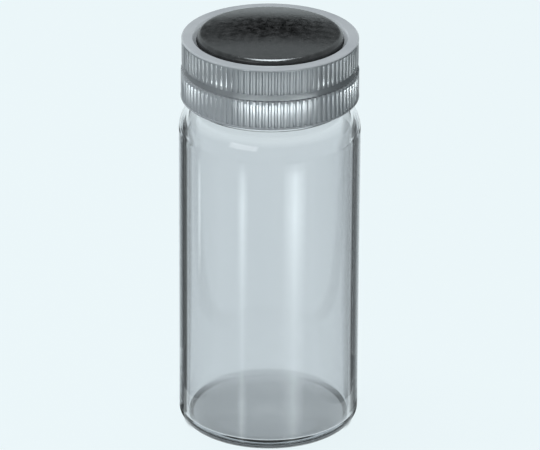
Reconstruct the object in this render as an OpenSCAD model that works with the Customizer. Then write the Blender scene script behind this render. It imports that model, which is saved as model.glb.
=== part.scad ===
// Glass sample vial with an open-topped screw cap and a domed rubber septum.
// Millimetres, +Z up, origin at the middle of the base.

/* [Vial body] */
// Outer diameter of the glass tube
body_d = 35; // [33:0.5:38]
// Height of the glass from the base to the mouth rim
glass_h = 77.4; // [60:0.2:100]
// Wall thickness of the tube
wall = 1.6; // [1:0.1:1.8]
// Thickness of the floor above the standing ring
floor_t = 2.2; // [1.6:0.1:3]
// Rounding of the outer base corner
base_round = 2.6; // [1:0.1:3]
// Rounding between the floor and the inner wall
floor_round = 0.4; // [0.2:0.1:2.5]
// Diameter of the shallow hollow under the base
punt_d = 25; // [18:0.5:27]
// Depth of the shallow hollow under the base
punt_h = 0.2; // [0.1:0.05:0.8]
// Rounding of the shoulder
shoulder_round = 7; // [5:0.5:10]

/* [Neck] */
// Width of the shoulder from the tube's outer wall in to the neck
shoulder_w = 2.8; // [2.2:0.1:4]
// Height of the neck above the line where the shoulder would meet it
neck_h = 10.8; // [10:0.1:14]
// Wall thickness of the neck
neck_wall = 1.8; // [1.4:0.1:2.4]
// Fillet between the neck and the shoulder
neck_fillet = 0.8; // [0.4:0.1:1.2]
// Rounding of the mouth rim's two edges
rim_round = 0.5; // [0.3:0.1:0.7]

/* [Thread] */
// Rise of the thread in one turn
thread_pitch = 3; // [2.4:0.1:3.2]
// Height of the thread ridge above its wall
thread_depth = 0.7; // [0.5:0.05:0.8]
// Length of the thread in turns
thread_turns = 1.5; // [1:0.25:1.75]
// Distance from the mouth rim down to the upper end of the thread
thread_drop = 2.2; // [1.8:0.1:2.6]
// Slope of the thread's flanks from level
thread_flank = 33; // [20:1:38]
// Clearance between a thread crest and the wall it faces
thread_gap = 0.25; // [0.15:0.05:0.4]
// Clearance between the flanks of the two threads, measured upright
flank_gap = 0.3; // [0.2:0.05:0.4]

/* [Screw cap] */
// Wall thickness of the cap between its ribs
cap_wall = 0.95; // [0.8:0.05:1.4]
// Thickness of the lip round the cap's hole
lip_t = 1.2; // [1:0.1:2]
// How far the lip reaches in over the septum's flange
lip_w = 1.55; // [1:0.05:3]
// Gap between the cap's lower edge and the foot of the neck
skirt_gap = 1.2; // [0.4:0.1:1.6]
// Bevel of the cap's upper outer edge
top_bevel = 0.2; // [0.1:0.05:0.35]
// Bevel of the upper edge of the cap's hole
hole_bevel = 0.8; // [0.2:0.05:0.9]
// Bevel of the cap's lower edges
foot_bevel = 0.3; // [0.1:0.05:0.4]
// Number of grip ribs in one row
rib_count = 90; // [60:2:110]
// Width of a grip rib at its foot
rib_foot_w = 0.85; // [0.6:0.05:0.95]
// Width of a grip rib at its crest
rib_crest_w = 0.4; // [0.2:0.05:0.5]
// Height of a grip rib above the cap's wall
rib_h = 0.3; // [0.2:0.05:0.5]
// Length of the ribs in the upper row
upper_ribs_h = 4.7; // [3:0.1:5.5]
// Height of the plain band between the two rows
band_h = 1.3; // [0.6:0.1:2]
// Height of the plain collar above the ribs
top_collar_h = 0.5; // [0.4:0.1:1.6]
// Height of the plain collar below the ribs
foot_collar_h = 0.5; // [0.5:0.1:1]
// How much further out the lower row stands
row_step = 0.15; // [0.1:0.05:0.3]
// How much further out the collars stand than the ribs
collar_proud = 0.05; // [0.05:0.05:0.2]

/* [Septum] */
// Clearance in the cap's hole round the disc that stands up through it
boss_gap = 0.15; // [0.1:0.05:0.3]
// Height of the disc's edge above the cap, before rounding
boss_rise = 0.65; // [0.3:0.05:1]
// Rise of the domed top from its edge to its middle
dome_h = 1; // [0.6:0.1:2]
// Rounding of the disc's upper edge
boss_round = 0.9; // [0.4:0.1:1.2]
// Thickness of the flange clamped on the mouth rim
flange_t = 1.5; // [1:0.1:2.5]
// Clearance round the flange in the cap
flange_gap = 0.25; // [0.15:0.05:0.4]
// Depth of the plug in the mouth
plug_h = 3; // [1.5:0.1:5]
// Clearance round the plug in the mouth
plug_gap = 0.15; // [0.1:0.05:0.3]
// Rounding of the plug's lower edge
plug_round = 0.8; // [0.4:0.1:1.2]

/* [Hidden] */
$fn = 96;

// How far a shape reaches past a face that it cuts or joins
skin = 0.1;

// Glass
body_r = body_d / 2;
cavity_r = body_r - wall;
neck_r = body_r - shoulder_w;
mouth_r = neck_r - neck_wall;
shoulder_x = body_r - shoulder_round;
shoulder_z = glass_h - neck_h - sqrt(pow(shoulder_round, 2) - pow(neck_r - shoulder_x, 2));
fillet_x = neck_r + neck_fillet;
fillet_reach = shoulder_round + neck_fillet;
fillet_z = shoulder_z + sqrt(pow(fillet_reach, 2) - pow(fillet_x - shoulder_x, 2));
fillet_touch = [
    shoulder_x + (fillet_x - shoulder_x) * shoulder_round / fillet_reach,
    shoulder_z + (fillet_z - shoulder_z) * shoulder_round / fillet_reach
];
punt_sphere_r = (pow(punt_d / 2, 2) + pow(punt_h, 2)) / (2 * punt_h);

// Thread, with the cap's ridge half a pitch below the neck's
thread_mid_w = thread_pitch / 2 - flank_gap;
thread_foot_w = thread_mid_w + (thread_depth + thread_gap) * tan(thread_flank);
thread_crest_w = thread_foot_w - 2 * thread_depth * tan(thread_flank);
thread_z = glass_h - thread_drop - thread_turns * thread_pitch;
thread_fade = 40;
thread_step = 10;
thread_root = 0.4;
thread_root_w = thread_foot_w + 2 * thread_root * tan(thread_flank);

// Screw cap
cap_z = glass_h - neck_h + skirt_gap;
lip_z = glass_h + flange_t;
cap_top = lip_z + lip_t;
cap_bore_r = neck_r + thread_depth + thread_gap;
hole_r = cap_bore_r - lip_w;
upper_r = cap_bore_r + cap_wall;
lower_r = upper_r + row_step;
top_collar_z = cap_top - top_collar_h;
upper_ribs_z = top_collar_z - upper_ribs_h;
band_z = upper_ribs_z - band_h;
foot_collar_z = cap_z + foot_collar_h;
collar_step = rib_h + collar_proud;
top_collar_r = upper_r + collar_step;
foot_collar_r = lower_r + collar_step;
rib_pitch = 360 / rib_count;
rib_crest_a = atan(rib_crest_w / 2 / upper_r);
rib_foot_a = atan(rib_foot_w / 2 / upper_r);
rib_root = 0.3;

// Septum
boss_r = hole_r - boss_gap;
flange_r = cap_bore_r - flange_gap;
plug_r = mouth_r - plug_gap;
plug_z = glass_h - plug_h;
dome_r = (pow(boss_r, 2) + pow(dome_h, 2)) / (2 * dome_h);
dome_z = cap_top + boss_rise + dome_h - dome_r;
edge_x = boss_r - boss_round;
edge_z = dome_z + sqrt(pow(dome_r - boss_round, 2) - pow(edge_x, 2));
dome_touch_x = edge_x * dome_r / (dome_r - boss_round);

function polar(radius, angle) = [radius * cos(angle), radius * sin(angle)];

// The waste of a square corner at the origin outside the arc that rounds it
module corner_waste(size) {
    difference() {
        translate([-skin, -skin]) square(size + skin);
        translate([size, size]) circle(size);
    }
}

// A quarter of a disc that fills the corner up and out from its centre
module quarter(radius) {
    intersection() {
        circle(radius);
        square(radius);
    }
}

// Ridge that climbs a wall as a right-hand helix and fades out at both ends.
// foot_r is the wall's radius, and a negative height makes an inner ridge.
module thread_ridge(foot_r, height, low_z) {
    side = sign(height);
    sweep = 360 * thread_turns;
    rings = ceil(sweep / thread_step);
    points = [
        for (i = [0:rings])
            let (
                angle = sweep * i / rings,
                fade = min(1, angle / thread_fade, (sweep - angle) / thread_fade),
                crest_r = foot_r - side * skin + fade * (height + side * skin),
                root_r = foot_r - side * thread_root,
                z = low_z + thread_pitch * angle / 360
            )
            for (p = [
                [root_r, -thread_root_w / 2],
                [crest_r, -thread_crest_w / 2],
                [crest_r, thread_crest_w / 2],
                [root_r, thread_root_w / 2]
            ])
                concat(polar(p[0], angle), z + p[1])
    ];
    flanks = [
        for (i = [0:rings - 1])
            for (k = [0:3])
                let (
                    a = 4 * i + k,
                    b = 4 * i + (k + 1) % 4
                )
                for (f = [[a, b + 4, b], [a, a + 4, b + 4]])
                    side > 0 ? [f[2], f[1], f[0]] : f
    ];
    last = 4 * rings;
    first_end = [0, 1, 2, 3];
    last_end = [last + 3, last + 2, last + 1, last];
    ends = side > 0 ? [first_end, last_end] : [[3, 2, 1, 0], [last, last + 1, last + 2, last + 3]];
    polyhedron(points, concat(flanks, ends));
}

// Outside of the glass, from the axis outwards
module glass_outline() {
    difference() {
        union() {
            square([body_r, shoulder_z]);
            translate([shoulder_x, shoulder_z]) quarter(shoulder_round);
            square([neck_r, glass_h]);
            difference() {
                polygon([
                    [neck_r - skin, fillet_z],
                    [fillet_x, fillet_z],
                    fillet_touch,
                    [neck_r - skin, shoulder_z]
                ]);
                translate([fillet_x, fillet_z]) circle(neck_fillet);
            }
        }
        translate([body_r, 0]) mirror([1, 0]) corner_waste(base_round);
        translate([neck_r, glass_h]) rotate(180) corner_waste(rim_round);
        translate([0, punt_h - punt_sphere_r]) circle(punt_sphere_r);
    }
}

// Inside of the glass, from the axis outwards
module cavity_outline() {
    difference() {
        union() {
            translate([0, floor_t]) square([cavity_r, shoulder_z - floor_t]);
            translate([shoulder_x, shoulder_z]) quarter(shoulder_round - wall);
            translate([0, floor_t]) square([mouth_r, glass_h]);
        }
        translate([cavity_r, floor_t]) mirror([1, 0]) corner_waste(floor_round);
    }
    translate([mouth_r, glass_h]) mirror([0, 1]) corner_waste(rim_round);
}

module glass_vial() {
    color([0.8, 0.85, 0.88, 0.4]) {
        rotate_extrude() difference() {
            glass_outline();
            cavity_outline();
        }
        thread_ridge(neck_r, thread_depth, thread_z);
    }
}

// One row of upright ribs on a wall of the given radius
module rib_row(wall_r, low_z, high_z) {
    translate([0, 0, low_z]) linear_extrude(high_z - low_z) difference() {
        polygon([
            for (i = [0:rib_count - 1])
                for (p = [
                    [wall_r - skin, -rib_foot_a],
                    [wall_r + rib_h, -rib_crest_a],
                    [wall_r + rib_h, rib_crest_a],
                    [wall_r - skin, rib_foot_a]
                ])
                    polar(p[0], i * rib_pitch + p[1])
        ]);
        circle(wall_r - rib_root);
    }
}

module cap_section() {
    polygon([
        [cap_bore_r + foot_bevel, cap_z],
        [foot_collar_r - foot_bevel, cap_z],
        [foot_collar_r, cap_z + foot_bevel],
        [foot_collar_r, foot_collar_z],
        [lower_r, foot_collar_z],
        [lower_r, band_z],
        [upper_r, band_z],
        [upper_r, top_collar_z],
        [top_collar_r, top_collar_z],
        [top_collar_r, cap_top - top_bevel],
        [top_collar_r - top_bevel, cap_top],
        [hole_r + hole_bevel, cap_top],
        [hole_r, cap_top - hole_bevel],
        [hole_r, lip_z],
        [cap_bore_r, lip_z],
        [cap_bore_r, cap_z + foot_bevel]
    ]);
}

module screw_cap() {
    color([0.7, 0.74, 0.77]) {
        rotate_extrude() cap_section();
        rib_row(lower_r, foot_collar_z - skin, band_z);
        rib_row(upper_r, upper_ribs_z, top_collar_z + skin);
        thread_ridge(cap_bore_r, -thread_depth, thread_z - thread_pitch / 2);
    }
}

module septum_outline() {
    translate([0, glass_h]) square([flange_r, flange_t]);
    translate([0, glass_h]) square([boss_r, edge_z - glass_h]);
    translate([edge_x, edge_z]) circle(boss_round);
    intersection() {
        translate([0, dome_z]) circle(dome_r);
        translate([0, glass_h]) square([dome_touch_x, cap_top]);
    }
    difference() {
        translate([0, plug_z]) square([plug_r, plug_h + skin]);
        translate([plug_r, plug_z]) mirror([1, 0]) corner_waste(plug_round);
    }
}

module rubber_septum() {
    color([0.09, 0.09, 0.1]) rotate_extrude() septum_outline();
}

glass_vial();
screw_cap();
rubber_septum();
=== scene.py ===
import math
import bpy
from mathutils import Matrix, Vector


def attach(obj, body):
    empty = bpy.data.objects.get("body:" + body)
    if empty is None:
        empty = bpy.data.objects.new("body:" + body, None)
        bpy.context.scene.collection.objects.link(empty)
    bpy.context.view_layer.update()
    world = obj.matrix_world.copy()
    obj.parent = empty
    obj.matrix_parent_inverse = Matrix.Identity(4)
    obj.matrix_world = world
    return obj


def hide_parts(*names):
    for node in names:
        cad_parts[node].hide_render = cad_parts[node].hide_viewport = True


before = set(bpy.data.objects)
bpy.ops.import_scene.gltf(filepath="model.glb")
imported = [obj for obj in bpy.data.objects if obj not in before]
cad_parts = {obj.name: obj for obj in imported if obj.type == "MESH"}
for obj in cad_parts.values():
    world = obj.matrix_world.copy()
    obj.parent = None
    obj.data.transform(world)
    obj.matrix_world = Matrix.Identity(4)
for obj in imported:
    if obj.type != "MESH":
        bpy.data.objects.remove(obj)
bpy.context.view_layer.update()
mm = 0.001  # sizes below are in millimetres
weldGap = 1e-6  # in metres, closes the seam and the poles of a turned piece
print("frame loaded:", sorted(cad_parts))


# section drawing, points are (radius, height)
def arc(cx, cz, radius, start, end, steps):
    angles = [math.radians(start + (end - start) * i / steps) for i in range(steps + 1)]
    return [(cx + radius * math.cos(a), cz + radius * math.sin(a)) for a in angles]


def line(start, end, steps):
    return [(start[0] + (end[0] - start[0]) * i / steps,
             start[1] + (end[1] - start[1]) * i / steps) for i in range(steps + 1)]


def eased(corner, before, after, radius, steps=4):  # a corner with a small rounding
    here = Vector(corner)
    toBefore = (Vector(before) - here).normalized()
    toAfter = (Vector(after) - here).normalized()
    half = toBefore.angle(toAfter) / 2
    reach = radius / math.tan(half)
    centre = here + (toBefore + toAfter).normalized() * radius / math.sin(half)
    first = here + toBefore * reach - centre
    last = here + toAfter * reach - centre
    points = []
    for i in range(steps + 1):
        spoke = first.slerp(last, i / steps)  # comes back with length 1
        points.append(tuple(centre + spoke * radius))
    return points


# node helpers
def wire(tree, value, socket):
    if isinstance(value, bpy.types.NodeSocket):
        tree.links.new(value, socket)
    elif value is not None:
        socket.default_value = value


def add(tree, kind, settings=None, **inputs):
    node = tree.nodes.new(kind)
    for key, value in (settings or {}).items():
        setattr(node, key, value)
    for name, value in inputs.items():
        wire(tree, value, node.inputs[name.replace("_", " ")])
    return node


def calc(tree, operation, *values, clamp=False):
    node = tree.nodes.new("ShaderNodeMath")
    node.operation = operation
    node.use_clamp = clamp
    for socket, value in zip(node.inputs, values):
        wire(tree, value, socket)
    return node.outputs[0]


def whole(tree, operation, *values):
    node = tree.nodes.new("FunctionNodeIntegerMath")
    node.operation = operation
    for socket, value in zip(node.inputs, values):
        wire(tree, value, socket)
    return node.outputs[0]


def slope(tree, value, low, high):  # 0 at low, 1 at high, straight between
    node = tree.nodes.new("ShaderNodeMapRange")
    wire(tree, value, node.inputs["Value"])
    wire(tree, low, node.inputs["From Min"])
    wire(tree, high, node.inputs["From Max"])
    return node.outputs["Result"]


def sampled(tree, section, value, row, kind):
    node = tree.nodes.new("GeometryNodeSampleIndex")
    node.data_type = kind
    wire(tree, section, node.inputs["Geometry"])
    wire(tree, value, node.inputs["Value"])
    wire(tree, row, node.inputs["Index"])
    return node.outputs["Value"]


def share(tree, section, name, row):  # how far a row takes part in a relief
    source = tree.nodes.new("GeometryNodeInputNamedAttribute")
    source.data_type = "FLOAT"
    source.inputs["Name"].default_value = name
    return sampled(tree, section, source.outputs["Attribute"], row, "FLOAT")


def ribWidths(tree, entry):  # half the crest and half the foot, as shares of the pitch
    around = calc(tree, "MULTIPLY", entry.outputs["Rib circle"], 2 * math.pi)
    pitch = calc(tree, "DIVIDE", around, entry.outputs["Ribs"])
    crest = calc(tree, "DIVIDE", calc(tree, "MULTIPLY", entry.outputs["Rib crest"], 0.5), pitch)
    foot = calc(tree, "DIVIDE", calc(tree, "MULTIPLY", entry.outputs["Rib foot"], 0.5), pitch)
    return crest, foot


def ribTurn(tree, entry, turn):  # shifts eight even points a rib onto the edges of its crest and foot
    crestPoint, footPoint, valleyPoint = 1 / 8, 3 / 8, 1 / 2  # where the even points lie on half a pitch
    crest, foot = ribWidths(tree, entry)
    place = calc(tree, "MULTIPLY", turn, entry.outputs["Ribs"])
    middle = calc(tree, "ROUND", place)
    offset = calc(tree, "SUBTRACT", place, middle)
    aside = calc(tree, "ABSOLUTE", offset)
    moved = calc(tree, "MULTIPLY", slope(tree, aside, 0.0, crestPoint), crest)
    flank = calc(tree, "SUBTRACT", foot, crest)
    moved = calc(tree, "MULTIPLY_ADD", slope(tree, aside, crestPoint, footPoint), flank, moved)
    valley = calc(tree, "SUBTRACT", valleyPoint, foot)
    moved = calc(tree, "MULTIPLY_ADD", slope(tree, aside, footPoint, valleyPoint), valley, moved)
    placed = calc(tree, "MULTIPLY_ADD", calc(tree, "SIGN", offset), moved, middle)
    return calc(tree, "DIVIDE", placed, entry.outputs["Ribs"])


def ribRelief(tree, entry, turn):  # upright ribs, evenly spaced round the axis
    crest, foot = ribWidths(tree, entry)
    place = calc(tree, "MULTIPLY", turn, entry.outputs["Ribs"])
    offset = calc(tree, "ABSOLUTE", calc(tree, "SUBTRACT", place, calc(tree, "ROUND", place)))
    return calc(tree, "MULTIPLY", slope(tree, offset, foot, crest), entry.outputs["Rib height"])


def threadRelief(tree, entry, turn, height):  # right-hand ridge that fades at both ends
    halfFoot = calc(tree, "MULTIPLY", entry.outputs["Thread foot"], 0.5)
    halfCrest = calc(tree, "MULTIPLY", entry.outputs["Thread crest"], 0.5)
    ridges = []
    for lap in range(2):  # a turn and a half passes each heading twice at most
        wound = calc(tree, "ADD", turn, lap)
        left = calc(tree, "SUBTRACT", entry.outputs["Thread turns"], wound)
        fade = slope(tree, calc(tree, "MINIMUM", wound, left), 0.0, entry.outputs["Thread fade"])
        middle = calc(tree, "MULTIPLY_ADD", wound, entry.outputs["Thread pitch"],
                      entry.outputs["Thread low end"])
        apart = calc(tree, "ABSOLUTE", calc(tree, "SUBTRACT", height, middle))
        ridges.append(calc(tree, "MULTIPLY", slope(tree, apart, halfFoot, halfCrest), fade))
    ridge = calc(tree, "MAXIMUM", *ridges)
    return calc(tree, "MULTIPLY", ridge, entry.outputs["Thread depth"])


# spins a section round Z and raises ribs or a thread where the section's rows ask for them
def turnTree(name, sizes):
    tree = bpy.data.node_groups.new(name, "GeometryNodeTree")
    tree.interface.new_socket("Section", in_out="INPUT", socket_type="NodeSocketGeometry")
    ids = {}
    for label, value in sizes.items():
        kind = "NodeSocketInt" if isinstance(value, int) else "NodeSocketFloat"
        ids[label] = tree.interface.new_socket(label, in_out="INPUT", socket_type=kind).identifier
    finish = tree.interface.new_socket("Finish", in_out="INPUT", socket_type="NodeSocketMaterial")
    ids["Finish"] = finish.identifier
    tree.interface.new_socket("Piece", in_out="OUTPUT", socket_type="NodeSocketGeometry")
    entry = tree.nodes.new("NodeGroupInput")
    section = entry.outputs["Section"]
    segments = entry.outputs["Segments"]
    size = add(tree, "GeometryNodeAttributeDomainSize", Geometry=section)
    columns = whole(tree, "ADD", segments, 1)
    grid = add(tree, "GeometryNodeMeshGrid", Vertices_X=size.outputs["Point Count"], Vertices_Y=columns)
    index = tree.nodes.new("GeometryNodeInputIndex").outputs[0]
    row = whole(tree, "DIVIDE_FLOOR", index, columns)
    turn = calc(tree, "DIVIDE", whole(tree, "MODULO", index, columns), segments)
    position = tree.nodes.new("GeometryNodeInputPosition").outputs[0]
    spot = add(tree, "ShaderNodeSeparateXYZ", Vector=sampled(tree, section, position, row, "FLOAT_VECTOR"))
    radius, height = spot.outputs["X"], spot.outputs["Z"]
    if "Ribs" in sizes:
        turn = ribTurn(tree, entry, turn)
        raised = calc(tree, "MULTIPLY", ribRelief(tree, entry, turn), share(tree, section, "ribs", row))
        radius = calc(tree, "ADD", radius, raised)
    if "Thread pitch" in sizes:
        raised = threadRelief(tree, entry, turn, height)
        radius = calc(tree, "MULTIPLY_ADD", raised, share(tree, section, "thread", row), radius)
    angle = calc(tree, "MULTIPLY", turn, 2 * math.pi)
    place = add(tree, "ShaderNodeCombineXYZ",
                X=calc(tree, "MULTIPLY", radius, calc(tree, "COSINE", angle)),
                Y=calc(tree, "MULTIPLY", radius, calc(tree, "SINE", angle)), Z=height)
    moved = add(tree, "GeometryNodeSetPosition", Geometry=grid.outputs["Mesh"], Position=place.outputs[0])
    closed = add(tree, "GeometryNodeMergeByDistance", Geometry=moved.outputs[0], Distance=weldGap)
    outward = add(tree, "GeometryNodeFlipFaces", Mesh=closed.outputs[0])
    smooth = add(tree, "GeometryNodeSetShadeSmooth", Geometry=outward.outputs[0])
    real = add(tree, "GeometryNodeRealizeInstances", Geometry=smooth.outputs[0])
    dressed = add(tree, "GeometryNodeSetMaterial", Geometry=real.outputs[0],
                  Material=entry.outputs["Finish"])
    leave = tree.nodes.new("NodeGroupOutput")
    tree.links.new(dressed.outputs[0], leave.inputs["Piece"])
    return tree, ids


def turnPiece(name, rows, sizes, finish, sharpAngle):
    points = [(r[0] * mm, 0, r[1] * mm) for r in rows]
    mesh = bpy.data.meshes.new(name + "Section")
    mesh.from_pydata(points, [(i, i + 1) for i in range(len(points) - 1)], [])
    for key, place in (("ribs", 2), ("thread", 3)):
        layer = mesh.attributes.new(key, "FLOAT", "POINT")
        layer.data.foreach_set("value", [float(r[place]) for r in rows])
    piece = bpy.data.objects.new(name, mesh)
    bpy.context.scene.collection.objects.link(piece)
    tree, ids = turnTree(name + "Turning", sizes)
    turning = piece.modifiers.new("turning", "NODES")
    turning.node_group = tree
    for label, value in sizes.items():
        turning[ids[label]] = value
    turning[ids["Finish"]] = finish
    graph = bpy.context.evaluated_depsgraph_get()
    made = bpy.data.meshes.new_from_object(piece.evaluated_get(graph), depsgraph=graph)
    made.name = name
    piece.modifiers.remove(turning)
    piece.data = made
    bpy.data.meshes.remove(mesh)
    made.set_sharp_from_angle(angle=math.radians(sharpAngle))
    print(name, "turned:", len(made.vertices), "points,", len(made.polygons), "faces")
    return piece


def asRows(points, ribs=0, thread=0):  # with the share that a row takes in ribs and thread
    return [(p[0], p[1], ribs, thread) for p in points]


# materials
def newFinish(name):
    finish = bpy.data.materials.new(name)
    finish.use_nodes = True
    tree = finish.node_tree
    tree.nodes.clear()
    out = tree.nodes.new("ShaderNodeOutputMaterial")
    return finish, tree, out


def objectNoise(tree, scale, stretch, detail):
    coords = tree.nodes.new("ShaderNodeTexCoord")
    mapping = add(tree, "ShaderNodeMapping", Vector=coords.outputs["Object"])
    mapping.inputs["Scale"].default_value = stretch
    noise = add(tree, "ShaderNodeTexNoise", Vector=mapping.outputs[0], Scale=scale, Detail=detail)
    return noise.outputs["Fac"]


def shades(tree, value, stops):
    ramp = add(tree, "ShaderNodeValToRGB", Fac=value)
    while len(ramp.color_ramp.elements) < len(stops):
        ramp.color_ramp.elements.new(0.5)
    for element, (place, colour) in zip(ramp.color_ramp.elements, stops):
        element.position = place
        element.color = (*colour, 1)
    return ramp.outputs["Color"]


def mottled(tree, cloud, piece):  # the piece's two tints, mixed by its clouds
    return shades(tree, cloud, list(zip(piece["cloudSpan"], piece["tint"])))


def span(tree, value, low, high):
    node = add(tree, "ShaderNodeMapRange", Value=value)
    node.inputs["To Min"].default_value = low
    node.inputs["To Max"].default_value = high
    return node.outputs["Result"]


glass = {
    "bodyRadius": 17.5, "wall": 1.6, "glassHeight": 77.4, "floor": 2.2, "baseRound": 2.6, "floorRound": 0.4,
    "puntRadius": 12.5, "puntHeight": 0.2, "shoulderRound": 7.0, "neckHeight": 10.8,
    "neckRadius": 14.7, "mouthRadius": 12.9, "neckFillet": 0.8, "rimRound": 0.5,
    "standingEdge": 0.4,  # the ring it stands on starts this far outside the hollow
    "threadLow": 70.7, "threadDepth": 0.7, "segments": 256, "sharpAngle": 40,
    "tint": ((0.812, 0.821, 0.836), (0.832, 0.839, 0.852)), "ior": 1.5, "roughness": 0.0,
    "clouds": (90, (1, 1, 0.15), 3.0), "cloudSpan": (0.3, 0.7),  # noise scale, stretch and detail
    "drawnLines": (260, (1, 1, 0.03), 2.0), "bump": 0.02, "bumpDepth": 0.2,  # faint, along the drawn tube
    "paintedHighlightFrom": (64.0, 64.8), "paintedHighlightTint": (1, 1, 1),  # heights between which the tint gives way to clear glass, a painted highlight on the shoulder
    "absorb": (0.2, 0.25, 0.3), "density": 28.0,  # darkens the long ways through the wall and the base
    "shadow": (0.86, 0.87, 0.88),  # the light that its shadow lets through
}
screw = {"pitch": 3.0, "turns": 1.5, "foot": 1.817, "crest": 0.908, "fade": 40 / 360}  # fade in turns


def threadSizes(piece):
    return {
        "Thread pitch": screw["pitch"] * mm, "Thread turns": screw["turns"], "Thread fade": screw["fade"],
        "Thread foot": screw["foot"] * mm, "Thread crest": screw["crest"] * mm,
        "Thread depth": piece["threadDepth"] * mm, "Thread low end": piece["threadLow"] * mm,
    }


def glassFinish():
    finish, tree, out = newFinish("vialGlass")
    body = tree.nodes.new("ShaderNodeBsdfPrincipled")
    body.inputs["Transmission Weight"].default_value = 1.0
    body.inputs["IOR"].default_value = glass["ior"]
    body.inputs["Roughness"].default_value = glass["roughness"]
    cloud = objectNoise(tree, *glass["clouds"])
    coords = tree.nodes.new("ShaderNodeTexCoord")
    split = add(tree, "ShaderNodeSeparateXYZ", Vector=coords.outputs["Object"])
    # the shoulder turns lighter above these heights: painted highlight
    rise = slope(tree, split.outputs["Z"], glass["paintedHighlightFrom"][0] * mm, glass["paintedHighlightFrom"][1] * mm)
    mixed = add(tree, "ShaderNodeMix", {"data_type": "RGBA"}, Factor=rise)
    tree.links.new(mottled(tree, cloud, glass), mixed.inputs["A"])
    mixed.inputs["B"].default_value = (*glass["paintedHighlightTint"], 1)
    wire(tree, mixed.outputs["Result"], body.inputs["Base Color"])
    drawn = objectNoise(tree, *glass["drawnLines"])
    bump = add(tree, "ShaderNodeBump", Height=drawn, Strength=glass["bump"],
               Distance=glass["bumpDepth"] * mm)
    wire(tree, bump.outputs["Normal"], body.inputs["Normal"])
    clear = tree.nodes.new("ShaderNodeBsdfTransparent")
    clear.inputs["Color"].default_value = (*glass["shadow"], 1)
    path = tree.nodes.new("ShaderNodeLightPath")
    mix = add(tree, "ShaderNodeMixShader", Fac=path.outputs["Is Shadow Ray"])
    tree.links.new(body.outputs[0], mix.inputs[1])
    tree.links.new(clear.outputs[0], mix.inputs[2])
    tree.links.new(mix.outputs[0], out.inputs["Surface"])
    depth = tree.nodes.new("ShaderNodeVolumeAbsorption")
    depth.inputs["Color"].default_value = (*glass["absorb"], 1)
    depth.inputs["Density"].default_value = glass["density"]
    tree.links.new(depth.outputs[0], out.inputs["Volume"])
    return finish


def glassRows():  # the last number of each arc and line is its count of steps
    g = glass
    puntSphere = (g["puntRadius"] ** 2 + g["puntHeight"] ** 2) / (2 * g["puntHeight"])
    puntAngle = math.degrees(math.asin(g["puntRadius"] / puntSphere))
    shoulderX = g["bodyRadius"] - g["shoulderRound"]
    shoulderRise = math.sqrt(g["shoulderRound"] ** 2 - (g["neckRadius"] - shoulderX) ** 2)
    shoulderZ = g["glassHeight"] - g["neckHeight"] - shoulderRise
    filletX = g["neckRadius"] + g["neckFillet"]
    reach = g["shoulderRound"] + g["neckFillet"]
    filletZ = shoulderZ + math.sqrt(reach ** 2 - (filletX - shoulderX) ** 2)
    touch = math.degrees(math.atan2(filletZ - shoulderZ, filletX - shoulderX))
    inside = g["bodyRadius"] - g["wall"]
    innerRound = g["shoulderRound"] - g["wall"]
    lipAngle = math.degrees(math.acos((g["mouthRadius"] - shoulderX) / innerRound))
    rimZ = g["glassHeight"] - g["rimRound"]
    rows = asRows(arc(0, g["puntHeight"] - puntSphere, puntSphere, 90, 90 - puntAngle, 10))
    rows += asRows(line((g["puntRadius"] + g["standingEdge"], 0), (g["bodyRadius"] - g["baseRound"], 0), 3))
    rows += asRows(arc(g["bodyRadius"] - g["baseRound"], g["baseRound"], g["baseRound"], -90, 0, 12)[1:])
    rows += asRows(line((g["bodyRadius"], g["baseRound"]), (g["bodyRadius"], shoulderZ), 24)[1:])
    rows += asRows(arc(shoulderX, shoulderZ, g["shoulderRound"], 0, touch, 14)[1:])
    rows += asRows(arc(filletX, filletZ, g["neckFillet"], 180 + touch, 180, 8)[1:])
    rows += asRows(line((g["neckRadius"], filletZ), (g["neckRadius"], rimZ), 96)[1:], thread=1)
    rows += asRows(arc(g["neckRadius"] - g["rimRound"], rimZ, g["rimRound"], 0, 90, 6)[1:])
    rows += asRows(arc(g["mouthRadius"] + g["rimRound"], rimZ, g["rimRound"], 90, 180, 6))
    lipZ = shoulderZ + innerRound * math.sin(math.radians(lipAngle))
    rows += asRows(line((g["mouthRadius"], rimZ), (g["mouthRadius"], lipZ), 8)[1:])
    rows += asRows(arc(shoulderX, shoulderZ, innerRound, lipAngle, 0, 12)[1:])
    floorTop = g["floor"] + g["floorRound"]
    rows += asRows(line((inside, shoulderZ), (inside, floorTop), 24)[1:])
    rows += asRows(arc(inside - g["floorRound"], floorTop, g["floorRound"], 0, -90, 8)[1:])
    rows += asRows(line((inside - g["floorRound"], g["floor"]), (0, g["floor"]), 10)[1:])
    return rows


vialGlass = glassFinish()
glassSizes = {"Segments": glass["segments"], **threadSizes(glass)}
glassVial = turnPiece("glassVial", glassRows(), glassSizes, vialGlass, glass["sharpAngle"])


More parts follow.
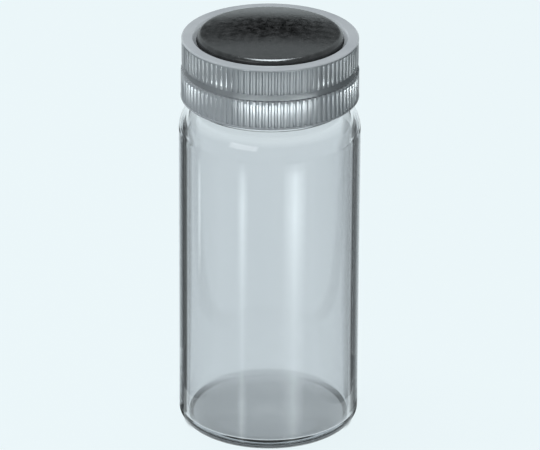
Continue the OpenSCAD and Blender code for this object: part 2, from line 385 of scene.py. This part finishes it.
cap = {
    "bore": 15.65, "hole": 14.1, "upperWall": 16.6, "lowerWall": 16.75, "topCollar": 16.95,
    "footCollar": 17.1, "foot": 67.8, "footCollarTop": 68.3, "band": 73.6, "upperRibs": 74.9,
    "topCollarLow": 79.6, "top": 80.1, "lipLow": 78.9,
    "topBevel": 0.2, "holeBevel": 0.8, "footBevel": 0.3, "edge": 0.06, "sharpAngle": 30,
    "ribs": 90, "ribHeight": 0.3, "ribFoot": 0.85, "ribCrest": 0.4, "pointsPerRib": 8,
    "ribSlant": 0.08, "ribEnd": 0.8, "bandEase": 0.02,  # ends of the ribs at the smooth band
    "threadLow": 69.2, "threadDepth": -0.7, "boreEnds": (0.3, 0.4),  # plain above and below the thread
    "tint": ((0.405, 0.445, 0.478), (0.463, 0.505, 0.535)), "ior": 1.49, "clear": 0.12,
    "clouds": (180, (1, 1, 0.6), 4.0), "cloudSpan": (0.3, 0.7), "grain": (420, (1, 1, 1), 2.0),
    "depth": ((67.8, 1.0), (73.4, 1.0), (73.65, 0.66), (74.8, 0.66), (75.2, 0.8), (79.9, 0.88),
              (80.1, 0.92)),  # height and tone, painted shade: darkest in the smooth groove, darker over the upper row where the black rubber stands behind the clear plastic
    "roughness": (0.2, 0.26), "coat": 1.0, "coatRoughness": 0.05, "bodyGloss": 0.0,  # the coat alone shines
}


def capFinish():
    finish, tree, out = newFinish("capPlastic")
    body = tree.nodes.new("ShaderNodeBsdfPrincipled")
    body.inputs["Transmission Weight"].default_value = cap["clear"]
    body.inputs["IOR"].default_value = cap["ior"]
    body.inputs["Coat Weight"].default_value = cap["coat"]
    body.inputs["Coat Roughness"].default_value = cap["coatRoughness"]
    body.inputs["Specular IOR Level"].default_value = cap["bodyGloss"]
    cloud = objectNoise(tree, *cap["clouds"])
    coords = tree.nodes.new("ShaderNodeTexCoord")
    split = add(tree, "ShaderNodeSeparateXYZ", Vector=coords.outputs["Object"])
    # painted shade by height, from the depth table
    up = slope(tree, split.outputs["Z"], cap["foot"] * mm, cap["top"] * mm)
    stops = [((z - cap["foot"]) / (cap["top"] - cap["foot"]), (tone,) * 3) for z, tone in cap["depth"]]
    mix = add(tree, "ShaderNodeMix", {"data_type": "RGBA", "blend_type": "MULTIPLY"}, Factor=1.0)
    tree.links.new(mottled(tree, cloud, cap), mix.inputs["A"])
    tree.links.new(shades(tree, up, stops), mix.inputs["B"])
    wire(tree, mix.outputs["Result"], body.inputs["Base Color"])
    grain = objectNoise(tree, *cap["grain"])
    wire(tree, span(tree, grain, *cap["roughness"]), body.inputs["Roughness"])
    tree.links.new(body.outputs[0], out.inputs["Surface"])
    return finish


def capRows():
    c = cap
    e = c["edge"]
    footIn = (c["bore"] + c["footBevel"], c["foot"])
    footOut = (c["footCollar"] - c["footBevel"], c["foot"])
    collarLow = (c["footCollar"], c["foot"] + c["footBevel"])
    collarTop = (c["footCollar"], c["footCollarTop"])
    boreLow = (c["bore"], c["foot"] + c["footBevel"])
    topLow = (c["topCollar"], c["topCollarLow"])
    topHigh = (c["topCollar"], c["top"] - c["topBevel"])
    topOut = (c["topCollar"] - c["topBevel"], c["top"])
    topIn = (c["hole"] + c["holeBevel"], c["top"])
    holeTop = (c["hole"], c["top"] - c["holeBevel"])
    holeLow = (c["hole"], c["lipLow"])
    boreTop = (c["bore"], c["lipLow"])
    start = eased(footIn, boreLow, footOut, e)
    rows = asRows(start)
    rows += asRows(eased(footOut, footIn, collarLow, e))
    rows += asRows(eased(collarLow, footOut, collarTop, e))
    rows += asRows(eased(collarTop, collarLow, (c["lowerWall"], c["footCollarTop"]), e, 2))
    lowerRow = line((c["lowerWall"], c["footCollarTop"]), (c["lowerWall"], c["band"] - c["ribSlant"]), 8)
    rows += asRows(lowerRow, ribs=1)
    rows += asRows([(c["lowerWall"] - c["bandEase"], c["band"])], ribs=c["ribEnd"])
    bandTop = c["upperRibs"] - 2 * c["bandEase"]
    rows += asRows(line((c["upperWall"], c["band"] + c["bandEase"]), (c["upperWall"], bandTop), 3))
    rows += asRows([(c["upperWall"], c["upperRibs"])], ribs=c["ribEnd"])
    upperLow = c["upperRibs"] + c["ribSlant"]
    upperRow = line((c["upperWall"], upperLow), (c["upperWall"], c["topCollarLow"]), 8)
    rows += asRows(upperRow, ribs=1)
    rows += asRows(eased(topLow, (c["upperWall"], c["topCollarLow"]), topHigh, e, 2))
    rows += asRows(eased(topHigh, topLow, topOut, e))
    rows += asRows(eased(topOut, topHigh, topIn, e))
    rows += asRows(eased(topIn, topOut, holeTop, e))
    rows += asRows(eased(holeTop, topIn, holeLow, e))
    rows += asRows(eased(holeLow, holeTop, boreTop, e))
    rows += asRows(eased(boreTop, holeLow, boreLow, e))
    threadTop = c["lipLow"] - c["boreEnds"][0]
    threadFoot = c["foot"] + c["boreEnds"][1]
    rows += asRows(line((c["bore"], threadTop), (c["bore"], threadFoot), 50), thread=1)
    rows += asRows(eased(boreLow, boreTop, footIn, e))
    rows += asRows(start[:1])
    return rows


capPlastic = capFinish()
capSizes = {
    "Segments": cap["ribs"] * cap["pointsPerRib"],
    "Ribs": cap["ribs"], "Rib circle": cap["upperWall"] * mm, "Rib height": cap["ribHeight"] * mm,
    "Rib foot": cap["ribFoot"] * mm, "Rib crest": cap["ribCrest"] * mm, **threadSizes(cap),
}
screwCap = turnPiece("screwCap", capRows(), capSizes, capPlastic, cap["sharpAngle"])


septum = {
    "plug": 12.75, "plugLow": 74.4, "plugRound": 0.8, "flange": 15.4, "flangeLow": 77.4, "flangeTop": 78.9,
    "disc": 13.95, "edgeX": 13.05, "edgeZ": 79.967, "edgeRound": 0.9,
    "domeCentre": -16.051, "domeRadius": 97.801, "soft": 0.15, "segments": 192, "sharpAngle": 40,
    "tint": ((0.002, 0.002, 0.0021), (0.011, 0.011, 0.0115)), "ior": 1.46, "roughness": (0.06, 0.28),
    "clouds": (800, (1, 1, 1), 3.0), "cloudSpan": (0.38, 0.62),
    "grain": (2600, (1, 1, 1), 2.0), "bump": 0.14, "bumpDepth": 0.1,
    "edgeDull": 0.7, "dullSpan": (0.15, -0.1),  # the upright side is duller, heights from edgeZ
}


def rubberFinish():
    finish, tree, out = newFinish("septumRubber")
    body = tree.nodes.new("ShaderNodeBsdfPrincipled")
    body.inputs["IOR"].default_value = septum["ior"]
    cloud = objectNoise(tree, *septum["clouds"])
    wire(tree, mottled(tree, cloud, septum), body.inputs["Base Color"])
    coords = tree.nodes.new("ShaderNodeTexCoord")
    split = add(tree, "ShaderNodeSeparateXYZ", Vector=coords.outputs["Object"])
    dullFrom, dullTo = [(septum["edgeZ"] + step) * mm for step in septum["dullSpan"]]
    upright = slope(tree, split.outputs["Z"], dullFrom, dullTo)
    dull = calc(tree, "MULTIPLY", upright, septum["edgeDull"])
    gloss = span(tree, cloud, *septum["roughness"])
    wire(tree, calc(tree, "ADD", gloss, dull, clamp=True), body.inputs["Roughness"])
    grain = objectNoise(tree, *septum["grain"])
    bump = add(tree, "ShaderNodeBump", Height=grain, Strength=septum["bump"],
               Distance=septum["bumpDepth"] * mm)
    wire(tree, bump.outputs["Normal"], body.inputs["Normal"])
    tree.links.new(body.outputs[0], out.inputs["Surface"])
    return finish


def septumRows():
    s = septum
    flangeIn = (s["plug"], s["flangeLow"])
    flangeLow = (s["flange"], s["flangeLow"])
    flangeTop = (s["flange"], s["flangeTop"])
    discFoot = (s["disc"], s["flangeTop"])
    touch = math.degrees(math.atan2(s["edgeZ"] - s["domeCentre"], s["edgeX"]))
    plugX = s["plug"] - s["plugRound"]
    rows = asRows(line((0, s["plugLow"]), (plugX, s["plugLow"]), 5))
    rows += asRows(arc(plugX, s["plugLow"] + s["plugRound"], s["plugRound"], -90, 0, 8)[1:])
    rows += asRows([flangeIn])
    rows += asRows(eased(flangeLow, flangeIn, flangeTop, s["soft"]))
    rows += asRows(eased(flangeTop, flangeLow, discFoot, s["soft"]))
    rows += asRows([discFoot])
    rows += asRows(arc(s["edgeX"], s["edgeZ"], s["edgeRound"], 0, touch, 14))
    rows += asRows(arc(0, s["domeCentre"], s["domeRadius"], touch, 90, 24)[1:])
    return rows


septumRubber = rubberFinish()
septumSizes = {"Segments": septum["segments"]}
rubberSeptum = turnPiece("rubberSeptum", septumRows(), septumSizes, septumRubber, septum["sharpAngle"])

for piece, node, body, slot in ((glassVial, "glass_vial", "vial", "vial_glass"),
                                (screwCap, "screw_cap", "cap", "cap_plastic"),
                                (rubberSeptum, "rubber_septum", "septum", "septum_rubber")):
    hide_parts(node)
    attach(piece, body)
print("pieces placed")


stage = {
    "pale": (0.871, 0.965, 0.991), "floorSize": 6.0, "floorGap": 0.05, "shownShare": 0.92, "matt": 0.4,
    "contactBack": ((0.0, 0.92), (18.5, 0.88), (20.0, 1.0)),  # radius and shade under the base
    "contactSide": ((0.0, 0.8), (14.6, 0.6), (15.0, 0.1), (16.3, 0.1), (16.7, 1.0)),
    "contactFront": ((0.0, 0.66), (14.6, 0.55), (14.9, 0.9), (15.4, 1.0)),
    "contactTurns": ((14.0, 5.0), (-2.5, -7.0)),  # where along Y one goes over into the next
    "worldLight": 0.18, "worldColour": (1, 1, 1),
}


def seenDirectly(tree):  # 1 for what the camera, a reflection or a view through glass sees
    path = tree.nodes.new("ShaderNodeLightPath")
    both = calc(tree, "ADD", path.outputs["Is Camera Ray"], path.outputs["Is Glossy Ray"])
    return calc(tree, "ADD", both, path.outputs["Is Transmission Ray"], clamp=True)


def flatPiece(name, corners, steps=1):  # cut across in steps, so that shades run true on a fan shape
    nearLeft, nearRight, farRight, farLeft = [Vector(c) * mm for c in corners]
    points = []
    for i in range(steps + 1):
        points += [nearLeft.lerp(farLeft, i / steps), nearRight.lerp(farRight, i / steps)]
    mesh = bpy.data.meshes.new(name)
    mesh.from_pydata(points, [], [(2 * i, 2 * i + 1, 2 * i + 3, 2 * i + 2) for i in range(steps)])
    layer = mesh.uv_layers.new(name="across")
    for loop, spot in zip(mesh.loops, layer.data):
        spot.uv = (loop.vertex_index % 2, loop.vertex_index // 2 / steps)
    sheet = bpy.data.objects.new(name, mesh)
    bpy.context.scene.collection.objects.link(sheet)
    return sheet


def contactShade(tree):  # the floor's colour, darker under the base in three zones from back to front
    coords = tree.nodes.new("ShaderNodeTexCoord")
    flat = add(tree, "ShaderNodeVectorMath", {"operation": "LENGTH"})
    tree.links.new(coords.outputs["Object"], flat.inputs[0])
    reach = stage["contactBack"][-1][0] * mm
    part = calc(tree, "DIVIDE", flat.outputs["Value"], reach, clamp=True)
    split = add(tree, "ShaderNodeSeparateXYZ", Vector=coords.outputs["Object"])
    blend = None
    for key, turn in zip(("contactBack", "contactSide", "contactFront"), (None, *stage["contactTurns"])):
        stops = [(r * mm / reach, tuple(c * v for c in stage["pale"])) for r, v in stage[key]]
        colour = shades(tree, part, stops)
        if turn:
            mix = add(tree, "ShaderNodeMix", {"data_type": "RGBA"})
            wire(tree, slope(tree, split.outputs["Y"], turn[0] * mm, turn[1] * mm), mix.inputs["Factor"])
            tree.links.new(blend, mix.inputs["A"])
            tree.links.new(colour, mix.inputs["B"])
            colour = mix.outputs["Result"]
        blend = colour
    return blend


def layFloor():
    half = stage["floorSize"] / 2 / mm
    low = -stage["floorGap"]
    corners = ((-half, -half, low), (half, -half, low), (half, half, low), (-half, half, low))
    floor = flatPiece("paleFloor", corners)
    finish, tree, out = newFinish("paleFloor")
    colour = contactShade(tree)
    matt = add(tree, "ShaderNodeMix", {"data_type": "RGBA", "blend_type": "MULTIPLY"}, Factor=1.0)
    tree.links.new(colour, matt.inputs["A"])
    matt.inputs["B"].default_value = (stage["matt"],) * 3 + (1,)
    paint = add(tree, "ShaderNodeBsdfDiffuse", Color=matt.outputs["Result"])
    glow = add(tree, "ShaderNodeEmission", Color=colour)
    shown = calc(tree, "MULTIPLY", seenDirectly(tree), stage["shownShare"])
    mix = add(tree, "ShaderNodeMixShader", Fac=shown)
    tree.links.new(paint.outputs[0], mix.inputs[1])
    tree.links.new(glow.outputs[0], mix.inputs[2])
    tree.links.new(mix.outputs[0], out.inputs["Surface"])
    floor.data.materials.append(finish)


# cards that show only as reflections or, with through, in the view through the glass
# flat ones lie beside the vial, with edges (x, y, heading) in mm and degrees from +Y towards +X
# soft is the share of the width that fades at each edge, light is (place from near to far, strength)
# added cards lie like a thin light over what is behind them and light one piece alone
laying = {"height": 0.1, "steps": 40, "hungSteps": 4}  # height in mm, cuts across a laid and a hung card
cards = {
    "darkLeft": {"edges": ((-17.5, -0.3, -14), (-16.9, -4.5, -46)), "reach": (0.3, 175),
                 "soft": (0.22, 0.2), "light": ((0, 0.05), (1, 0.05)), "through": True},
    "darkLeftFar": {"edges": ((-17, 0, -25), (-17, 0, -52)), "reach": (175, 640), "soft": (0.2, 0.2),
                    "light": ((0, 0.06), (1, 0.06)), "through": True},
    "darkRight": {"edges": ((16.9, 4.5, 9), (16.9, -4.5, 46)), "reach": (0.3, 175), "soft": (0.4, 0.2),
                  "light": ((0, 0.16), (0.2, 0.13), (1, 0.13)), "through": True},
    "darkRightFar": {"edges": ((17, 0, 25), (17, 0, 52)), "reach": (175, 640), "soft": (0.2, 0.2),
                     "light": ((0, 0.12), (1, 0.12)), "through": True},
    "shadeRight": {"edges": ((14, 8, 35), (14, -8, 128)), "reach": (20, 260), "soft": (0.15, 0.45),
                   "light": ((0, 0.03), (1, 0.03))},
    "shadeLeft": {"edges": ((-14, -8, -118), (-14, 8, -35)), "reach": (20, 260), "soft": (0.4, 0.15),
                  "light": ((0, 0.3), (1, 0.3))},
    "stripRight": {"edges": ((2.5, -17.3, 164), (6.0, -16.4, 130)), "reach": (0.3, 175), "soft": (0.5, 0.5),
                   "light": ((0, 2.0), (0.07, 3.2), (0.15, 3.8), (0.24, 2.2), (0.4, 3.2), (0.67, 7.0),
                             (0.78, 6.2), (0.84, 3.2), (1.0, 0.0))},
    "stripLeft": {"edges": ((-4.0, -17.1, -154), (-6.2, -16.5, -138)), "reach": (0.3, 175),
                  "soft": (0.5, 0.5),
                  "light": ((0, 2.0), (0.06, 3.6), (0.12, 4.0), (0.2, 1.8), (0.4, 2.8), (0.67, 5.8),
                            (0.75, 4.0), (0.82, 1.8), (1.0, 0.0))},
    "stripEdge": {"edges": ((-13.2, -11.5, -84), (-13.9, -10.6, -76)), "reach": (0.3, 175),
                  "soft": (0.5, 0.5), "height": 0.15, "added": True,
                  "light": ((0, 0.0), (0.4, 0.0), (0.56, 3.0), (0.7, 3.0), (0.8, 0.0))},
}
hungCards = {  # corners in mm, from above for the rim light and from behind for the dark of the dome
    "topCard": {"corners": ((-240, -300, 850), (240, -300, 850), (240, 260, 850), (-240, 260, 850)),
                "soft": (0.3, 0.3), "light": ((0, 25.0), (1, 25.0)), "added": True},
    "backCard": {"corners": ((-230, 500, 196), (230, 500, 196), (230, 500, 362), (-230, 500, 362)),
                 "soft": (0.45, 0.45), "light": ((0, 0.0), (1, 0.0))},
}
backWall = {  # low behind, draws the dark line round the base and greys the inside floor
    "corners": ((-1800, 700, 70), (1800, 700, 70), (1800, 700, 420), (-1800, 700, 420)),
    "soft": (0.1, 0.1), "light": ((0, 0.02), (1, 0.02)),
}
ribCard = {  # part of a ring on the floor in front, each rib mirrors it as one bright line
    "middle": 8.0, "half": 58.0, "soft": 24.0,  # degrees from the camera's side towards +X
    "light": ((177.0, 4.0), (181.5, 6.0), (183.0, 12.0), (184.5, 26.0), (188.6, 28.0), (189.2, 0.0),
              (194.2, 0.0), (195.0, 6.0), (206.0, 5.0)),  # radius and strength
    "groove": (189.2, 194.6),  # the smooth band between the ribs mirrors this part, kept dark
    "size": 210, "height": 0.2,  # of the sheet that carries the ring
}


def glowShades(tree, part, light):  # the tone along a card and its full strength
    most = max(v for _, v in light) or 1.0
    stops = [(place, tuple(c * v / most for c in stage["pale"])) for place, v in light]
    return shades(tree, part, stops), most


def ribCardFinish():
    finish, tree, out = newFinish("ribCard")
    coords = tree.nodes.new("ShaderNodeTexCoord")
    split = add(tree, "ShaderNodeSeparateXYZ", Vector=coords.outputs["Object"])
    reach = add(tree, "ShaderNodeVectorMath", {"operation": "LENGTH"})
    tree.links.new(coords.outputs["Object"], reach.inputs[0])
    low, high = ribCard["light"][0][0], ribCard["light"][-1][0]
    part = slope(tree, reach.outputs["Value"], low * mm, high * mm)
    tone, most = glowShades(tree, part, [((r - low) / (high - low), v) for r, v in ribCard["light"]])
    front = calc(tree, "MULTIPLY", split.outputs["Y"], -1.0)
    heading = calc(tree, "ARCTAN2", split.outputs["X"], front)
    aside = calc(tree, "ABSOLUTE", calc(tree, "SUBTRACT", heading, math.radians(ribCard["middle"])))
    edge = math.radians(ribCard["half"])
    cover = slope(tree, aside, edge, edge - math.radians(ribCard["soft"]))
    nearlyHalf = 0.4999  # cuts the ring off just short of both ends
    offMiddle = calc(tree, "ABSOLUTE", calc(tree, "SUBTRACT", part, 0.5))
    inside = calc(tree, "LESS_THAN", offMiddle, nearlyHalf)
    cover = calc(tree, "MULTIPLY", cover, inside)
    glow = add(tree, "ShaderNodeEmission", Color=tone, Strength=calc(tree, "MULTIPLY", cover, most))
    grooveLow, grooveHigh = [(r - low) / (high - low) for r in ribCard["groove"]]
    above = calc(tree, "GREATER_THAN", part, grooveLow)
    groove = calc(tree, "MULTIPLY", above, calc(tree, "LESS_THAN", part, grooveHigh))
    left = calc(tree, "SUBTRACT", 1.0, calc(tree, "MULTIPLY", cover, groove))
    black, white = (0, 0, 0), (1, 1, 1)
    clear = add(tree, "ShaderNodeBsdfTransparent", Color=shades(tree, left, ((0, black), (1, white))))
    both = tree.nodes.new("ShaderNodeAddShader")
    tree.links.new(clear.outputs[0], both.inputs[0])
    tree.links.new(glow.outputs[0], both.inputs[1])
    tree.links.new(both.outputs[0], out.inputs["Surface"])
    return finish


def cardFinish(name, card):
    finish, tree, out = newFinish(name)
    spot = tree.nodes.new("ShaderNodeUVMap")
    spot.uv_map = "across"
    split = add(tree, "ShaderNodeSeparateXYZ", Vector=spot.outputs[0])
    rise = slope(tree, split.outputs["X"], 0.0, card["soft"][0])
    fall = slope(tree, split.outputs["X"], 1.0, 1.0 - card["soft"][1])
    cover = calc(tree, "MULTIPLY", rise, fall)
    tone, most = glowShades(tree, split.outputs["Y"], card["light"])
    glow = add(tree, "ShaderNodeEmission", Color=tone, Strength=most)
    clear = tree.nodes.new("ShaderNodeBsdfTransparent")
    if card.get("added"):
        wire(tree, calc(tree, "MULTIPLY", cover, most), glow.inputs["Strength"])
        both = tree.nodes.new("ShaderNodeAddShader")
    else:
        both = add(tree, "ShaderNodeMixShader", Fac=cover)
    tree.links.new(clear.outputs[0], both.inputs[-2])
    tree.links.new(glow.outputs[0], both.inputs[-1])
    tree.links.new(both.outputs[0], out.inputs["Surface"])
    return finish


def setCard(sheet, finish, through, mirrored=True):
    sheet.data.materials.append(finish)
    sheet.visible_glossy = mirrored
    sheet.visible_camera = False
    sheet.visible_diffuse = False
    sheet.visible_shadow = False
    sheet.visible_transmission = through


def lightOnly(sheet, piece):  # the card's light reaches this piece alone
    reached = bpy.data.collections.new(sheet.name + "Reach")
    reached.objects.link(piece)
    sheet.light_linking.receiver_collection = reached


def layCards():
    for name, card in cards.items():
        corners = []
        height = card.get("height", laying["height"])
        near, far = card["reach"]
        for distance, order in ((near, (0, 1)), (far, (1, 0))):
            for k in order:
                x, y, heading = card["edges"][k]
                turn = math.radians(heading)
                corners.append((x + distance * math.sin(turn), y + distance * math.cos(turn), height))
        sheet = flatPiece(name, corners, laying["steps"])
        setCard(sheet, cardFinish(name, card), card.get("through", False))
        if card.get("added"):
            lightOnly(sheet, glassVial)
    for name, card in hungCards.items():
        sheet = flatPiece(name, card["corners"], laying["hungSteps"])
        setCard(sheet, cardFinish(name, card), False)
        if card.get("added"):
            lightOnly(sheet, rubberSeptum)
    wall = flatPiece("backWall", backWall["corners"], laying["hungSteps"])
    setCard(wall, cardFinish("backWall", backWall), True, mirrored=False)
    side, height = ribCard["size"], ribCard["height"]
    corners = ((-side, -side, height), (side, -side, height), (side, 0, height), (-side, 0, height))
    ring = flatPiece("ribCard", corners)
    setCard(ring, ribCardFinish(), False)
    lightOnly(ring, screwCap)


def lightWorld():
    world = bpy.data.worlds.new("studio")
    bpy.context.scene.world = world
    world.use_nodes = True
    tree = world.node_tree
    tree.nodes.clear()
    seen = tree.nodes.new("ShaderNodeBackground")
    seen.inputs["Color"].default_value = (*stage["pale"], 1)
    soft = tree.nodes.new("ShaderNodeBackground")
    soft.inputs["Color"].default_value = (*stage["worldColour"], 1)
    soft.inputs["Strength"].default_value = stage["worldLight"]
    mix = add(tree, "ShaderNodeMixShader", Fac=seenDirectly(tree))
    tree.links.new(soft.outputs[0], mix.inputs[1])
    tree.links.new(seen.outputs[0], mix.inputs[2])
    out = tree.nodes.new("ShaderNodeOutputWorld")
    tree.links.new(mix.outputs[0], out.inputs["Surface"])


lamps = {  # in metres and watts, glass and gloss mirror the left one alone
    "topBox": {"place": (-0.12, 0.1, 0.85), "aim": (0, 0, 0.07), "size": (0.5, 0.4), "power": 7.3,
               "mirrored": False},
    "leftBox": {"place": (-0.494, -0.705, 0.45), "aim": (0, 0, 0.06), "size": (0.6, 0.26), "power": 0.8,
                "mirrored": True},
    "frontBox": {"place": (-0.25, -0.9, 0.3), "aim": (0, 0, 0.06), "size": (0.3, 0.3), "power": 1.8,
                 "mirrored": False},
}


def softBox(name, place, aim, size, power, mirrored):
    lamp = bpy.data.lights.new(name, "AREA")
    lamp.shape = "RECTANGLE"
    lamp.size, lamp.size_y = size
    lamp.energy = power
    box = bpy.data.objects.new(name, lamp)
    box.location = place
    box.visible_glossy = mirrored
    box.visible_transmission = mirrored
    box.rotation_mode = "QUATERNION"
    box.rotation_quaternion = (Vector(aim) - Vector(place)).to_track_quat("-Z", "Y")
    bpy.context.scene.collection.objects.link(box)


layFloor()
layCards()
lightWorld()
for name, lamp in lamps.items():
    softBox(name, **lamp)
print("floor and light ready")


shot = {
    "distance": 969.7, "elevation": 24.43, "pivot": 39.0, "aim": (0.16, 0, 40.63), "roll": 0.32,
    "lens": 333.6, "sensor": 36, "clip": (0.05, 20),  # clip in metres
}


def placeCamera():
    lens = bpy.data.cameras.new("shot")
    lens.lens = shot["lens"]
    lens.sensor_width = shot["sensor"]
    lens.sensor_fit = "HORIZONTAL"
    lens.clip_start, lens.clip_end = shot["clip"]
    camera = bpy.data.objects.new("shot", lens)
    up = math.radians(shot["elevation"])
    rise = shot["distance"] * math.sin(up)
    place = Vector((0, -shot["distance"] * math.cos(up), shot["pivot"] + rise)) * mm
    camera.location = place
    look = (Vector(shot["aim"]) * mm - place).to_track_quat("-Z", "Y").to_matrix()
    camera.rotation_euler = (look @ Matrix.Rotation(math.radians(shot["roll"]), 3, "Z")).to_euler()
    bpy.context.scene.collection.objects.link(camera)
    bpy.context.scene.camera = camera


placeCamera()
bounces = bpy.context.scene.cycles  # the thick base carries light a long way
bounces.max_bounces = 32
bounces.glossy_bounces = 24
bounces.transmission_bounces = 24
bpy.context.scene.view_settings.view_transform = "Standard"
